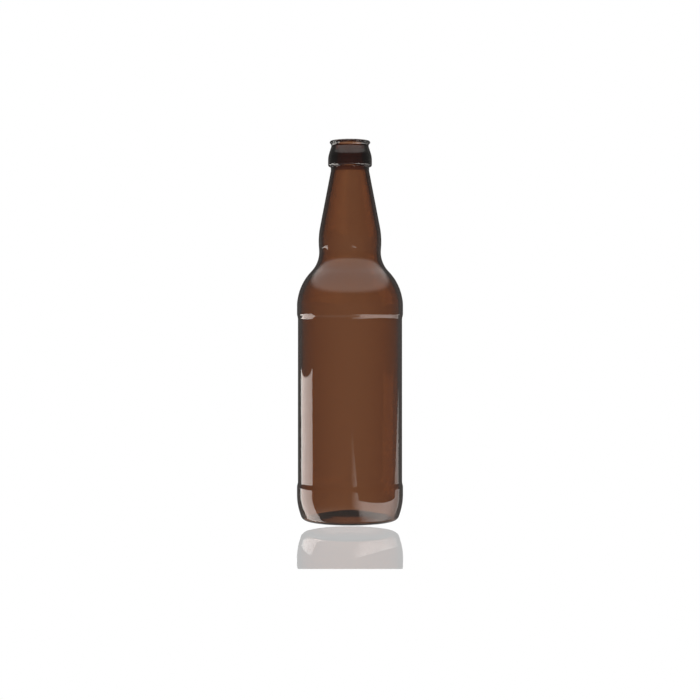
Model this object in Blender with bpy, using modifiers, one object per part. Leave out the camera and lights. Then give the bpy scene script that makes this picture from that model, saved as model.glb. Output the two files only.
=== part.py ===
# Brown glass beer bottle, empty and uncapped: one piece of glass, turned about +Z.
# Units are metres. The origin is the centre of the base, on the surface the bottle stands on.

import math

import bpy
from mathutils import Vector

OBJECT_NAME = "beer_bottle"
NODE_NAME = "bottle"

# Overall size
HEIGHT = 0.2488
BODY_RADIUS = 0.0348  # the two raised bands and the foot of the shoulder
WALL = 0.0026

# Base and heel
STANDING_INSIDE = 0.0245  # inner edge of the flat ring that the bottle stands on
HEEL_CORNER = 0.0313
HEEL_ROUND = 0.0041
HEEL_TOP = 0.0106
HEEL_SWEEP = 0.0372
PUSH_UP_CORNER = (0.0138, 0.0022)
PUSH_UP_ROUND = 0.0135
PUSH_UP_RISE = 0.0023
FLOOR_EDGE = (0.0273, 0.0020)  # the floor of the hollow, which rises from here to the axis
FLOOR_EDGE_ROUND = 0.0030
FLOOR_CORNER = (0.0132, 0.0051)
FLOOR_ROUND = 0.0600
FLOOR_TOP = 0.0067
INNER_HEEL_ROUND = 0.0008

# Label panel, sunk between the two raised bands
PANEL_SINK = 0.0006
PANEL_BOTTOM = 0.02424
PANEL_TOP = 0.1326
STEP = 0.00185  # height of the slope between a band and the panel
STEP_ROUND = 0.0049
PANEL_ROUND = 0.0073

# Shoulder: a convex dome that turns into a concave flare at the waist
SHOULDER_FOOT = 0.1428
SHOULDER_FOOT_ROUND = 0.0214
DOME_CORNER = (0.03245, 0.15575)
DOME_ROUND = 0.0331
WAIST_CORNER = (0.01978, 0.16883)
WAIST_ROUND = 0.0184

# Neck: a faint crease above the waist, a slight swelling, then a long cone
CREASE = (0.02034, 0.17775)
SWELL_CORNER = (0.02104, 0.18517)
SWELL_ROUND = 0.0500
NECK_RADIUS = 0.0126
NECK_TOP = 0.2289
NECK_ROUND = 0.0030

# Finish: the collar and the lip that a crown cap grips
COLLAR_RADIUS = 0.0144
COLLAR_BOTTOM = 0.2316
COLLAR_TOP = 0.2384
COLLAR_LOWER_ROUND = 0.0015
COLLAR_UPPER_ROUND = 0.0160
GROOVE_RADIUS = 0.0119
GROOVE_HEIGHT = 0.2462
GROOVE_ROUND = 0.0022
LIP_RADIUS = 0.0133
LIP_SLOPE = 0.0011
LIP_UNDER_ROUND = 0.0004
LIP_ROUND = 0.0012

# Bore
BORE_RADIUS = 0.0080
BORE_MOUTH_ROUND = 0.0010
BORE_TOP = 0.2420  # the bore narrows from the neck up to here, and then runs straight to the mouth
BORE_TOP_ROUND = 0.0040

# Fineness of the facets
TURN_STEPS = 48
CHORD_SAG = 0.00009  # the most that a facet may cut off an arc of the outline

GLASS_COLOUR = (0.133, 0.054, 0.026, 1.0)
GLASS_ROUGHNESS = 0.04
GLASS_IOR = 1.52


def finish_corners():
    """Corners (radius, height, rounding) of the lip and the collar, from the top down."""
    return [
        (LIP_RADIUS, HEIGHT, LIP_ROUND),
        (LIP_RADIUS, GROOVE_HEIGHT + LIP_SLOPE, LIP_UNDER_ROUND),
        (GROOVE_RADIUS, GROOVE_HEIGHT, GROOVE_ROUND),
        (COLLAR_RADIUS, COLLAR_TOP, COLLAR_UPPER_ROUND),
        (COLLAR_RADIUS, COLLAR_BOTTOM, COLLAR_LOWER_ROUND),
        (NECK_RADIUS, COLLAR_BOTTOM, 0),
    ]


def body_corners():
    """Corners of the outside between the collar and the base, from the neck down."""
    panel_radius = BODY_RADIUS - PANEL_SINK
    return [
        (NECK_RADIUS, NECK_TOP, NECK_ROUND),
        (*SWELL_CORNER, SWELL_ROUND),
        (*CREASE, 0),
        (*WAIST_CORNER, WAIST_ROUND),
        (*DOME_CORNER, DOME_ROUND),
        (BODY_RADIUS, SHOULDER_FOOT, SHOULDER_FOOT_ROUND),
        (BODY_RADIUS, PANEL_TOP + STEP, STEP_ROUND),
        (panel_radius, PANEL_TOP, PANEL_ROUND),
        (panel_radius, PANEL_BOTTOM, PANEL_ROUND),
        (BODY_RADIUS, PANEL_BOTTOM - STEP, STEP_ROUND),
        (BODY_RADIUS, HEEL_TOP, HEEL_SWEEP),
        (HEEL_CORNER, 0, HEEL_ROUND),
    ]


def base_corners():
    """Corners of the underside: the flat standing ring, then the push-up that rises to the axis."""
    return [
        (STANDING_INSIDE, 0, 0),
        (*PUSH_UP_CORNER, PUSH_UP_ROUND),
        (0, PUSH_UP_RISE, 0),
    ]


def inset(before, corners, after, distance):
    """Corners moved into the glass, square to the lines that meet at each. Where the outside bulges the
    rounding shrinks by the distance, and where it is hollow the rounding grows by it."""
    places = [Vector((radius, 0, height)) for radius, height, rounding in (before, *corners, after)]
    steps = [(ahead - place).normalized() for place, ahead in zip(places, places[1:])]
    normals = [Vector((step.z, 0, -step.x)) for step in steps]
    moved = []
    for i, (radius, height, rounding) in enumerate(corners):
        first, second = normals[i], normals[i + 1]
        shift = (first + second) * distance / (1 + first.dot(second))
        bulge = math.copysign(distance, first.x * second.z - first.z * second.x) if rounding else 0
        moved.append((radius + shift.x, height + shift.z, rounding + bulge))
    return moved


def hollow_corners():
    """Corners of the hollow, from the middle of the floor up to the mouth: the outside pulled in."""
    wall = inset(finish_corners()[-1], body_corners(), base_corners()[0], WALL)[::-1]
    return [
        (0, FLOOR_TOP, 0),
        (*FLOOR_CORNER, FLOOR_ROUND),
        (*FLOOR_EDGE, FLOOR_EDGE_ROUND),
        (wall[0][0], FLOOR_EDGE[1], INNER_HEEL_ROUND),
        *wall[1:],
        (BORE_RADIUS, BORE_TOP, BORE_TOP_ROUND),
        (BORE_RADIUS, HEIGHT, BORE_MOUTH_ROUND),
    ]


def arc_at(before, corner, after, rounding):
    """Points of the arc of the given radius that touches both lines meeting at the corner."""
    to_before = (before - corner).normalized()
    to_after = (after - corner).normalized()
    half_angle = to_before.angle(to_after) / 2
    reach = rounding / math.tan(half_angle)
    bisector = (to_before + to_after).normalized()
    centre = corner + bisector * (rounding / math.sin(half_angle))
    start = (corner + to_before * reach - centre).normalized()
    end = (corner + to_after * reach - centre).normalized()
    facet = 2 * math.acos(1 - CHORD_SAG / rounding)
    pieces = max(2, math.ceil(start.angle(end) / facet))
    return [centre + start.slerp(end, i / pieces) * rounding for i in range(pieces + 1)]


def rounded(corners):
    """The closed outline's points: each corner with a rounding becomes an arc, the others stay sharp."""
    places = [Vector((radius, 0, height)) for radius, height, rounding in corners]
    points = [places[0]]
    for i in range(1, len(corners) - 1):
        rounding = corners[i][2]
        if rounding:
            points += arc_at(places[i - 1], places[i], places[i + 1], rounding)
        else:
            points.append(places[i])
    points.append(places[-1])
    return points


def glass_material():
    """Brown bottle glass."""
    material = bpy.data.materials.new("amber_glass")
    material.use_nodes = True
    shader = material.node_tree.nodes["Principled BSDF"]
    shader.inputs["Base Color"].default_value = GLASS_COLOUR
    shader.inputs["Roughness"].default_value = GLASS_ROUGHNESS
    shader.inputs["Metallic"].default_value = 0.0
    shader.inputs["IOR"].default_value = GLASS_IOR
    material.diffuse_color = GLASS_COLOUR
    return material


def turned_piece(name, outline, material, collection):
    """An outline in the X-Z plane, turned once about +Z."""
    mesh = bpy.data.meshes.new(name)
    edges = [(i, i + 1) for i in range(len(outline) - 1)]
    mesh.from_pydata(outline, edges, [])
    mesh.materials.append(material)
    piece = bpy.data.objects.new(name, mesh)
    collection.objects.link(piece)
    screw = piece.modifiers.new("turn", "SCREW")
    screw.axis = "Z"
    screw.angle = math.tau
    screw.steps = TURN_STEPS
    screw.render_steps = TURN_STEPS
    screw.use_merge_vertices = True
    screw.merge_threshold = 0.00001
    screw.use_smooth_shade = True
    return piece


def main():
    for old in list(bpy.data.objects):
        bpy.data.objects.remove(old, do_unlink=True)
    collection = bpy.data.collections.new(OBJECT_NAME)
    bpy.context.scene.collection.children.link(collection)
    outline = rounded(hollow_corners() + finish_corners() + body_corners() + base_corners())
    turned_piece(NODE_NAME, outline, glass_material(), collection)


main()
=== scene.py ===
import math

import bpy
import numpy as np
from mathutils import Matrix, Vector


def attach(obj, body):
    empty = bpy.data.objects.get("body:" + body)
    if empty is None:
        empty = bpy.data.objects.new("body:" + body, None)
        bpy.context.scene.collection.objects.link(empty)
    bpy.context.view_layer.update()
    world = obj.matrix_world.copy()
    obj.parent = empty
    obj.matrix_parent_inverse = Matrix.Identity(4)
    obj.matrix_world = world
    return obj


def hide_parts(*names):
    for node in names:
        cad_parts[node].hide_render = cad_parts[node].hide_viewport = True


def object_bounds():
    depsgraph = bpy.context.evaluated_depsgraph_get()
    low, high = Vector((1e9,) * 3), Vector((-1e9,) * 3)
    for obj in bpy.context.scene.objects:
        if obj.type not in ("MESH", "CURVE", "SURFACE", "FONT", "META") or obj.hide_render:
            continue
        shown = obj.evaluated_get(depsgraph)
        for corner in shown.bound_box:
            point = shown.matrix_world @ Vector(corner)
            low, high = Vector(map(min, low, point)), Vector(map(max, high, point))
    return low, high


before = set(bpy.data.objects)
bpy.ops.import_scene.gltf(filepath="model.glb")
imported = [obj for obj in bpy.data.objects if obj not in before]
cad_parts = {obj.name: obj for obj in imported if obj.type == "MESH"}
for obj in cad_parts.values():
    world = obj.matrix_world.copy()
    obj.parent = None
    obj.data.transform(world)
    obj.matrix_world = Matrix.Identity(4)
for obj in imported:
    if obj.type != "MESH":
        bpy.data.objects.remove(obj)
cad_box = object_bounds()

# The bottle's outline, in metres, with its base on z = 0 and its axis on +Z
HEIGHT = cad_box[1].z
BODY_RADIUS = cad_box[1].x
WALL = 0.0026

# Base and heel
STANDING_INSIDE = 0.0245
STANDING_EDGE_ROUND = 0.0004
HEEL_CORNER = 0.0313
HEEL_ROUND = 0.0041
HEEL_TOP = 0.0106
HEEL_SWEEP = 0.0372
PUSH_UP_CORNER = (0.0138, 0.0022)
PUSH_UP_ROUND = 0.0135
PUSH_UP_RISE = 0.0023
FLOOR_EDGE = (0.0273, 0.0020)
FLOOR_EDGE_ROUND = 0.0030
FLOOR_CORNER = (0.0132, 0.0051)
FLOOR_ROUND = 0.0600
FLOOR_TOP = 0.0067
INNER_HEEL_ROUND = 0.0008

# Label panel, sunk between the two raised bands
PANEL_SINK = 0.0006
PANEL_BOTTOM = 0.02424
PANEL_TOP = 0.1326
STEP = 0.00185
STEP_ROUND = 0.0049
PANEL_ROUND = 0.0073

# Shoulder: a convex dome that turns into a concave flare at the waist
SHOULDER_FOOT = 0.1428
SHOULDER_FOOT_ROUND = 0.0214
DOME_CORNER = (0.03245, 0.15575)
DOME_ROUND = 0.0331
WAIST_CORNER = (0.01978, 0.16883)
WAIST_ROUND = 0.0184

# Neck: a faint crease above the waist, a slight swelling, then a long cone
CREASE = (0.02034, 0.17775)
CREASE_ROUND = 0.0040
SWELL_CORNER = (0.02104, 0.18517)
SWELL_ROUND = 0.0500
NECK_RADIUS = 0.0126
NECK_TOP = 0.2289
NECK_ROUND = 0.0030

# Finish: the collar and the lip
COLLAR_RADIUS = 0.0144
COLLAR_BOTTOM = 0.2316
COLLAR_TOP = 0.2384
COLLAR_LOWER_ROUND = 0.0015
COLLAR_UPPER_ROUND = 0.0160
UNDER_COLLAR_ROUND = 0.0003
GROOVE_RADIUS = 0.0119
GROOVE_HEIGHT = 0.2462
GROOVE_ROUND = 0.0022
LIP_RADIUS = 0.0133
LIP_SLOPE = 0.0011
LIP_UNDER_ROUND = 0.0004
LIP_ROUND = 0.0012

# Bore
BORE_RADIUS = 0.0080
BORE_MOUTH_ROUND = 0.0010
BORE_TOP = 0.2420
BORE_TOP_ROUND = 0.0040

# Fineness: steps about the axis, the bend of one step along an arc and the longest straight step
TURN_STEPS = 192
ARC_STEP = math.radians(3)
LINE_STEP = 0.004

# Glass
GLASS_IOR = 1.52
AMBER_TINT = (0.535, 0.285, 0.047)
AMBER_DENSITY = 790.0

# Room that the glass mirrors. Strengths are shares of the white ground's light. Directions are in degrees
# of azimuth, 0 towards the camera and positive to its right, and of elevation. A pair is the start and
# end of a fade.
LAMP_COLOUR = (1.045, 1.0, 0.955)
BACK_WALL = 0.12
SIDE_WALL = 0.26
BACK_WALL_EDGE = (-0.97, -0.72)  # in the direction's part towards the camera
HIGH_WALL_LOSS = 0.15
HIGH_WALL_EDGE = (1, 12)
DOME = 1.19
DOME_EDGE = (25.2, 37.2)
DOME_EDGE_SLANT = 1.2
DOME_EDGE_BEND = 1.1
FLOOR_GLOW = 0.3
FLOOR_GLOW_EDGE = (-28, -15)

LEFT_BOX = 3.35
LEFT_BOX_UP_LOSS = 0.01  # for each degree of elevation
LEFT_BOX_END_GAIN = 0.5
LEFT_BOX_SPAN = (-138, -92)
LEFT_BOX_LEFT_END = (-139.4, -138.6)
LEFT_BOX_LEFT_SLANT = 0.45
LEFT_BOX_RIGHT_END = (-92.6, -91.8)
LEFT_BOX_RIGHT_SLANT = 0.28
LEFT_BOX_TOP = (-2.23, -2.11)
LEFT_BOX_FOOT = (-52, -48)
SCOOP_MIDDLE = -114.7
SCOOP_HALF = 19
SCOOP_DEPTH = 0.193
SCOOP_POWER = 2.6

RIGHT_BOX = 3.4
RIGHT_BOX_MIDDLE = 68
RIGHT_BOX_NEAR_END = (2, 32)
RIGHT_BOX_FAR_LOSS = 0.72
RIGHT_BOX_FAR_FADE = (80, 128)
RIGHT_BOX_FAR_END = (134, 136)
RIGHT_BOX_DROP = 0.2145  # of its top edge below the horizon, as a tangent
RIGHT_BOX_DROP_BLUR = 0.004
RIGHT_BOX_NEAR_POWER = 1.35
RIGHT_BOX_FAR_POWER = 1.65
RIGHT_BOX_FOOT = (-1.45, -0.6)  # as tangents
RIGHT_BOX_LEAST_FACING = 0.05
NEAR_CORNER_LOSS = 0.7
NEAR_CORNER_FOOT = (-31, -20)
NEAR_CORNER_END = (20.5, 22.5)

# Ground: half its side, the share of light that it mirrors, its depth below the base, where its reflection
# ends and how far above it the film lies
SHEET_HALF = 3.0
MIRROR = 0.53
MIRROR_DEPTH = 0.0041
MIRROR_END = -0.1725
FILM_GAP = 0.0002

# Camera: level, a metre from the bottle's axis
CAMERA_DISTANCE = 1.0
PIXELS = 700
PIXEL_SIZE = 0.0006568  # size of one pixel at the bottle's axis
AXIS_COLUMN = 350.0
HORIZON_ROW = 319.5
BASE_ROW = 519.7
SENSOR = 36.0


def rounded(corners):
    """Points (radius, height) of an outline of corners (radius, height, rounding), each with its normal
    on the left of the way along. A rounded corner becomes an arc that touches both of its lines: its
    centre lies on the bisector at rounding / sin(half angle), the normals turn evenly from one line's to
    the other's, and each point is centre +- rounding * normal. A sharp corner's normal is halfway between
    its lines' normals."""
    places = np.array([corner[:2] for corner in corners])
    ways = np.diff(places, axis=0)
    ways /= np.linalg.norm(ways, axis=1)[:, None]
    runs = [[(*places[0], 0, 1)]]
    for i in range(1, len(corners) - 1):
        rounding = corners[i][2]
        bend = math.acos(ways[i - 1] @ ways[i])
        side = math.copysign(1, ways[i - 1] @ (-ways[i][1], ways[i][0]))
        pieces = max(3, math.ceil(bend / ARC_STEP)) if rounding else 0
        turned_by = np.linspace(0, 1, pieces + 1) if rounding else np.array([0.5])
        headings = math.atan2(ways[i - 1][1], ways[i - 1][0]) - side * bend * turned_by
        normals = np.stack((-np.sin(headings), np.cos(headings)), axis=1)
        bisector = ways[i] - ways[i - 1]
        centre = places[i] + bisector / np.linalg.norm(bisector) * rounding / math.cos(bend / 2)
        runs.append(np.hstack((centre + side * rounding * normals, normals)))
    runs.append([(*places[-1], 0, -1)])
    return np.concatenate(runs)


def filled_in(outline):
    """The outline with its straight runs cut to pieces no longer than LINE_STEP: each added point is
    start + share * (end - start), with the normal square to the run."""
    runs = []
    for start, end in zip(outline[:-1], outline[1:]):
        run = end[:2] - start[:2]
        length = np.linalg.norm(run)
        shares = np.arange(1, math.ceil(length / LINE_STEP)) / math.ceil(length / LINE_STEP)
        added = np.empty((len(shares), 4))
        added[:, :2] = start[:2] + shares[:, None] * run
        added[:, 2:] = (-run[1] / length, run[0] / length)
        runs += [start[None], added]
    runs.append(outline[-1:])
    return np.concatenate(runs)


def turned(name, outline):
    """A surface turned about +Z: point (i, k) is (radius_i * cos(a_k), radius_i * sin(a_k), height_i)
    with a_k = k * full turn / TURN_STEPS, and its normal is turned with it. The outline's two ends lie on
    the axis and are one vertex each."""
    angles = np.arange(TURN_STEPS) * math.tau / TURN_STEPS
    rings = outline[1:-1]
    grid = np.empty((2, len(rings), TURN_STEPS, 3))
    grid[..., 0] = rings.T[[0, 2], :, None] * np.cos(angles)
    grid[..., 1] = rings.T[[0, 2], :, None] * np.sin(angles)
    grid[..., 2] = rings.T[[1, 3], :, None]
    ends = [[[0, 0, outline[0, column]], [0, 0, outline[-1, column]]] for column in (1, 3)]
    points, normals = np.concatenate((grid.reshape(2, -1, 3), ends), axis=1)
    k = np.arange(TURN_STEPS)
    after = (k + 1) % TURN_STEPS
    ring = np.arange(len(rings) - 1)[:, None] * TURN_STEPS
    quads = np.stack((ring + k, ring + TURN_STEPS + k, ring + TURN_STEPS + after, ring + after), axis=-1)
    last_ring = (len(rings) - 1) * TURN_STEPS
    first_pole = len(rings) * TURN_STEPS
    first_fan = np.stack((k, after, np.full_like(k, first_pole)), axis=-1)
    last_fan = np.stack((last_ring + after, last_ring + k, np.full_like(k, first_pole + 1)), axis=-1)
    faces = quads.reshape(-1, 4).tolist() + first_fan.tolist() + last_fan.tolist()
    mesh = bpy.data.meshes.new(name)
    mesh.from_pydata(points, [], faces)
    mesh.shade_smooth()
    mesh.normals_split_custom_set_from_vertices(normals)
    piece = bpy.data.objects.new(name, mesh)
    bpy.context.scene.collection.objects.link(piece)
    return piece


def body_corners():
    """Corners of the outside between the collar and the base, from the neck down."""
    panel_radius = BODY_RADIUS - PANEL_SINK
    return [
        (NECK_RADIUS, NECK_TOP, NECK_ROUND),
        (*SWELL_CORNER, SWELL_ROUND),
        (*CREASE, CREASE_ROUND),
        (*WAIST_CORNER, WAIST_ROUND),
        (*DOME_CORNER, DOME_ROUND),
        (BODY_RADIUS, SHOULDER_FOOT, SHOULDER_FOOT_ROUND),
        (BODY_RADIUS, PANEL_TOP + STEP, STEP_ROUND),
        (panel_radius, PANEL_TOP, PANEL_ROUND),
        (panel_radius, PANEL_BOTTOM, PANEL_ROUND),
        (BODY_RADIUS, PANEL_BOTTOM - STEP, STEP_ROUND),
        (BODY_RADIUS, HEEL_TOP, HEEL_SWEEP),
        (HEEL_CORNER, 0, HEEL_ROUND),
    ]


def finish_corners():
    """Corners of the lip and the collar, from the top of the lip down to the neck."""
    return [
        (LIP_RADIUS, HEIGHT, LIP_ROUND),
        (LIP_RADIUS, GROOVE_HEIGHT + LIP_SLOPE, LIP_UNDER_ROUND),
        (GROOVE_RADIUS, GROOVE_HEIGHT, GROOVE_ROUND),
        (COLLAR_RADIUS, COLLAR_TOP, COLLAR_UPPER_ROUND),
        (COLLAR_RADIUS, COLLAR_BOTTOM, COLLAR_LOWER_ROUND),
        (NECK_RADIUS, COLLAR_BOTTOM, UNDER_COLLAR_ROUND),
    ]


def base_corners():
    """Corners of the underside, from the standing ring to the axis."""
    return [
        (STANDING_INSIDE, 0, STANDING_EDGE_ROUND),
        (*PUSH_UP_CORNER, PUSH_UP_ROUND),
        (0, PUSH_UP_RISE, 0),
    ]


def inset(before, corners, after, distance):
    """Corners moved inwards, square to the lines that meet at each: by (n1 + n2) / (1 + n1 . n2) *
    distance, with n1 and n2 the lines' inward normals. A bulging corner's rounding shrinks by the
    distance, a hollow one's grows."""
    places = np.array([corner[:2] for corner in (before, *corners, after)])
    steps = np.diff(places, axis=0)
    steps /= np.linalg.norm(steps, axis=1)[:, None]
    normals = np.stack((steps[:, 1], -steps[:, 0]), axis=1)
    moved = []
    for i, (radius, height, rounding) in enumerate(corners):
        n1, n2 = normals[i], normals[i + 1]
        shift = (n1 + n2) / (1 + n1 @ n2) * distance
        bulge = math.copysign(distance, n1[0] * n2[1] - n1[1] * n2[0]) if rounding else 0
        moved.append((radius + shift[0], height + shift[1], rounding + bulge))
    return moved


def bottle_outline():
    """The whole outline: the hollow from the floor up to the mouth, then the outside down to the
    underside."""
    finish, body, base = finish_corners(), body_corners(), base_corners()
    inside = inset(finish[-1], body, base[0], WALL)[::-1]
    hollow = [
        (0, FLOOR_TOP, 0),
        (*FLOOR_CORNER, FLOOR_ROUND),
        (*FLOOR_EDGE, FLOOR_EDGE_ROUND),
        (inside[0][0], FLOOR_EDGE[1], INNER_HEEL_ROUND),
        *inside[1:],
        (BORE_RADIUS, BORE_TOP, BORE_TOP_ROUND),
        (BORE_RADIUS, HEIGHT, BORE_MOUTH_ROUND),
    ]
    return rounded(hollow + finish + body + base)


class Number:
    """A number socket that takes part in Python expressions: each operator adds its Math node."""

    def __init__(self, nodes, socket):
        self.nodes = nodes
        self.socket = socket

    def math(self, operation, *others):
        node = self.nodes.add("ShaderNodeMath", {"operation": operation}, {})
        for i, value in enumerate((self, *others)):
            self.nodes.feed(node.inputs[i], value)
        return Number(self.nodes, node.outputs[0])

    def __add__(self, other):
        return self.math("ADD", other)

    def __mul__(self, other):
        return self.math("MULTIPLY", other)

    def __sub__(self, other):
        return self.math("SUBTRACT", other)

    def __rsub__(self, other):
        return self * -1 + other

    def __truediv__(self, other):
        return self.math("DIVIDE", other)

    def __gt__(self, other):
        return self.math("GREATER_THAN", other)

    __radd__ = __add__
    __rmul__ = __mul__

    def ramp(self, start, end, kind="LINEAR"):
        """0 below start, 1 above end, and a straight climb between them."""
        links = {"Value": self, "From Min": start, "From Max": end}
        node = self.nodes.add("ShaderNodeMapRange", {"interpolation_type": kind}, links)
        return Number(self.nodes, node.outputs[0])

    def rise(self, start, end):
        """0 below start, 1 above end, and a smooth climb between them."""
        return self.ramp(start, end, "SMOOTHSTEP")


class Nodes:
    """The node tree of a material or of the world."""

    def __init__(self, owner):
        owner.use_nodes = True
        self.tree = owner.node_tree
        self.tree.nodes.clear()

    def add(self, kind, settings, links):
        """A node of a kind: its settings are set first, then the values or links of its sockets."""
        node = self.tree.nodes.new(kind)
        for name, value in settings.items():
            setattr(node, name, value)
        for name, value in links.items():
            self.feed(node.inputs[name], value)
        return node

    def feed(self, socket, value):
        if isinstance(value, Number):
            self.tree.links.new(value.socket, socket)
        elif isinstance(value, bpy.types.NodeSocket):
            self.tree.links.new(value, socket)
        else:
            socket.default_value = value

    def number(self, node, output):
        return Number(self, node.outputs[output])


def amber_glass():
    """Clear brown bottle glass: smooth, bending light as soda glass does, and taking up light along its
    depth. It is the same all over, so its colour comes only from how much glass the light crosses."""
    material = bpy.data.materials.new("amber_glass")
    nodes = Nodes(material)
    shader = nodes.add(
        "ShaderNodeBsdfPrincipled",
        {},
        {
            "Base Color": (1, 1, 1, 1),
            "Roughness": 0.0,
            "IOR": GLASS_IOR,
            "Transmission Weight": 1.0,
        },
    )
    amber = {"Color": (*AMBER_TINT, 1), "Density": AMBER_DENSITY}
    depth = nodes.add("ShaderNodeVolumeAbsorption", {}, amber)
    nodes.add("ShaderNodeOutputMaterial", {}, {"Surface": shader.outputs[0], "Volume": depth.outputs[0]})
    return material


def dim_walls(front, elevation):
    """Dim walls all round, darkest straight behind the bottle and a little darker above the horizon.
    front is the direction's part towards the camera, from -1 to 1."""
    wall = BACK_WALL + (SIDE_WALL - BACK_WALL) * front.rise(*BACK_WALL_EDGE)
    return wall * (1 - HIGH_WALL_LOSS * elevation.rise(*HIGH_WALL_EDGE))


def dome(front, elevation):
    """A bright dome overhead, whose soft edge lies front * (DOME_EDGE_SLANT + DOME_EDGE_BEND * front)
    degrees above DOME_EDGE."""
    lift = front * (DOME_EDGE_SLANT + DOME_EDGE_BEND * front)
    return DOME * (elevation - lift).rise(*DOME_EDGE)


def left_box(azimuth, elevation):
    """A tall soft box at the left, behind the bottle. It grows brighter to its right and downwards. Its
    two ends slant, and its top edge is scooped: it lies higher by SCOOP_DEPTH times a power of the
    distance from its middle, as a share of SCOOP_HALF."""
    strength = LEFT_BOX - LEFT_BOX_UP_LOSS * elevation + LEFT_BOX_END_GAIN * azimuth.ramp(*LEFT_BOX_SPAN)
    strength = strength * (azimuth + LEFT_BOX_LEFT_SLANT * elevation).rise(*LEFT_BOX_LEFT_END)
    strength = strength * (1 - (azimuth + LEFT_BOX_RIGHT_SLANT * elevation).rise(*LEFT_BOX_RIGHT_END))
    spread = ((azimuth - SCOOP_MIDDLE) / SCOOP_HALF).math("ABSOLUTE").math("POWER", SCOOP_POWER)
    strength = strength * (1 - (elevation - SCOOP_DEPTH * spread).rise(*LEFT_BOX_TOP))
    return strength * elevation.rise(*LEFT_BOX_FOOT)


def right_box(azimuth, elevation, steepness):
    """A wide soft box low at the right. facing is the cosine of the angle from its middle, and steepness
    the tangent of the elevation. Its top edge lies where steepness is -RIGHT_BOX_DROP * facing ** power,
    and it fades out downwards by steepness / facing. It is dimmer at its far end and at its near lower
    corner."""
    facing = (math.radians(1) * (azimuth - RIGHT_BOX_MIDDLE)).math("COSINE")
    facing = facing.math("MAXIMUM", RIGHT_BOX_LEAST_FACING)
    far_side = azimuth > RIGHT_BOX_MIDDLE
    power = RIGHT_BOX_NEAR_POWER + (RIGHT_BOX_FAR_POWER - RIGHT_BOX_NEAR_POWER) * far_side
    below_top = steepness + RIGHT_BOX_DROP * facing.math("POWER", power)
    strength = RIGHT_BOX * azimuth.ramp(*RIGHT_BOX_NEAR_END)
    strength = strength * (1 - RIGHT_BOX_FAR_LOSS * azimuth.rise(*RIGHT_BOX_FAR_FADE))
    strength = strength * (1 - azimuth.rise(*RIGHT_BOX_FAR_END))
    strength = strength * (1 - below_top.rise(-RIGHT_BOX_DROP_BLUR, RIGHT_BOX_DROP_BLUR))
    strength = strength * (steepness / facing).rise(*RIGHT_BOX_FOOT)
    corner = (1 - elevation.rise(*NEAR_CORNER_FOOT)) * (1 - azimuth.rise(*NEAR_CORNER_END))
    return strength * (1 - NEAR_CORNER_LOSS * corner)


def studio():
    """White light all round, seen directly and through the glass, and the dim room with its lamps, seen
    only where the glass mirrors. A ray that crossed the ground's film was mirrored once by the ground
    itself, so one is taken off its count of mirrorings."""
    world = bpy.data.worlds.new("studio")
    nodes = Nodes(world)
    direction = nodes.add("ShaderNodeTexCoord", {}, {}).outputs["Generated"]
    parts = nodes.add("ShaderNodeSeparateXYZ", {}, {"Vector": direction})
    across, away, up = (nodes.number(parts, axis) for axis in "XYZ")
    front = away * -1
    azimuth = across.math("ARCTAN2", front) * math.degrees(1)
    elevation = up.math("ARCSINE") * math.degrees(1)
    steepness = up / (1 - up * up).math("SQRT")
    glow = FLOOR_GLOW * (1 - elevation.rise(*FLOOR_GLOW_EDGE))
    boxes = left_box(azimuth, elevation) + right_box(azimuth, elevation, steepness)
    room = dim_walls(front, elevation) + dome(front, elevation) + glow.math("MAXIMUM", boxes)

    path = nodes.add("ShaderNodeLightPath", {}, {})
    by_ground = nodes.number(path, "Transparent Depth") > 0.5
    in_glass = nodes.number(path, "Glossy Depth") - by_ground > 0.5
    colours = {0: in_glass, 6: (1, 1, 1, 1), 7: (*LAMP_COLOUR, 1)}
    colour = nodes.add("ShaderNodeMix", {"data_type": "RGBA"}, colours).outputs[2]
    light = nodes.add("ShaderNodeBackground", {}, {"Color": colour, "Strength": in_glass * (room - 1) + 1})
    nodes.add("ShaderNodeOutputWorld", {}, {"Surface": light.outputs[0]})
    bpy.context.scene.world = world


def sheet(name, height, material):
    """A level square that only the camera sees."""
    mesh = bpy.data.meshes.new(name)
    half = SHEET_HALF
    corners = [(-half, -half, height), (half, -half, height), (half, half, height), (-half, half, height)]
    mesh.from_pydata(corners, [], [(0, 1, 2, 3)])
    mesh.materials.append(material)
    flat = bpy.data.objects.new(name, mesh)
    for kind in ("diffuse", "glossy", "transmission", "volume_scatter", "shadow"):
        setattr(flat, "visible_" + kind, False)
    bpy.context.scene.collection.objects.link(flat)


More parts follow.
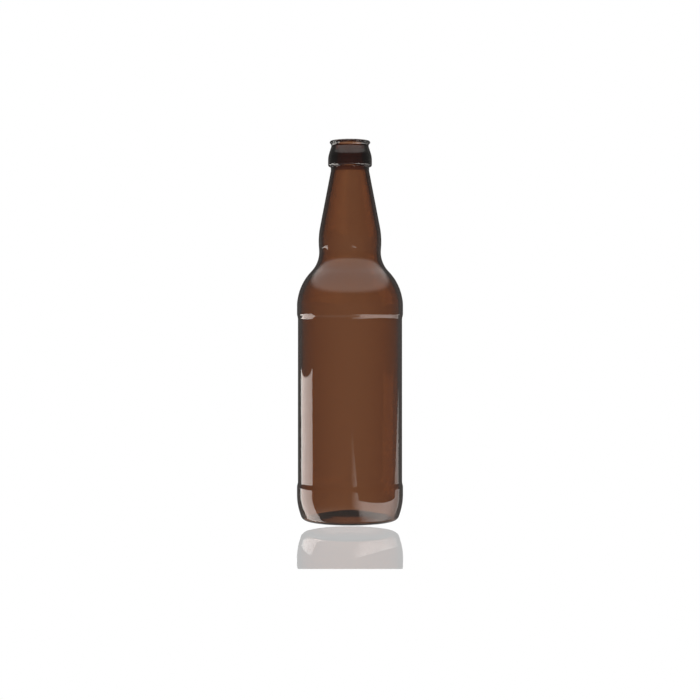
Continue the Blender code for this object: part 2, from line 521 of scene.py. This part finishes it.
def ground():
    """The polished white ground: a clear film, whose crossing tells the world that what follows is the
    ground's reflection, over a sheet that mirrors the bottle faintly as far forward as MIRROR_END."""
    film = bpy.data.materials.new("ground_film")
    nodes = Nodes(film)
    clear = nodes.add("ShaderNodeBsdfTransparent", {}, {})
    nodes.add("ShaderNodeOutputMaterial", {}, {"Surface": clear.outputs[0]})

    polish = bpy.data.materials.new("ground_polish")
    nodes = Nodes(polish)
    place = nodes.add("ShaderNodeTexCoord", {}, {}).outputs["Object"]
    parts = nodes.add("ShaderNodeSeparateXYZ", {}, {"Vector": place})
    strength = MIRROR * (nodes.number(parts, "Y") > MIRROR_END)
    clear = nodes.add("ShaderNodeBsdfTransparent", {}, {})
    mirror = nodes.add("ShaderNodeBsdfGlossy", {}, {"Color": (1, 1, 1, 1), "Roughness": 0.0})
    mix = nodes.add("ShaderNodeMixShader", {}, {0: strength, 1: clear.outputs[0], 2: mirror.outputs[0]})
    nodes.add("ShaderNodeOutputMaterial", {}, {"Surface": mix.outputs[0]})

    sheet("ground_film", FILM_GAP - MIRROR_DEPTH, film)
    sheet("ground_polish", -MIRROR_DEPTH, polish)


def camera():
    """A level camera in front of the bottle, whose shift sets the horizon's row."""
    data = bpy.data.cameras.new("camera")
    data.sensor_width = SENSOR
    data.lens = CAMERA_DISTANCE / PIXEL_SIZE / PIXELS * SENSOR
    data.shift_x = (PIXELS / 2 - AXIS_COLUMN) / PIXELS
    data.shift_y = (HORIZON_ROW - PIXELS / 2) / PIXELS
    eye = bpy.data.objects.new("camera", data)
    eye.location = (0, -CAMERA_DISTANCE, (BASE_ROW - HORIZON_ROW) * PIXEL_SIZE)
    eye.rotation_euler = (math.pi / 2, 0, 0)
    bpy.context.scene.collection.objects.link(eye)
    bpy.context.scene.camera = eye


camera()
studio()
ground()
bottle = turned("bottle_glass", filled_in(bottle_outline()))
bottle.data.materials.append(amber_glass())
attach(bottle, "root")
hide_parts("bottle")

bpy.context.scene.view_settings.view_transform = "Standard"
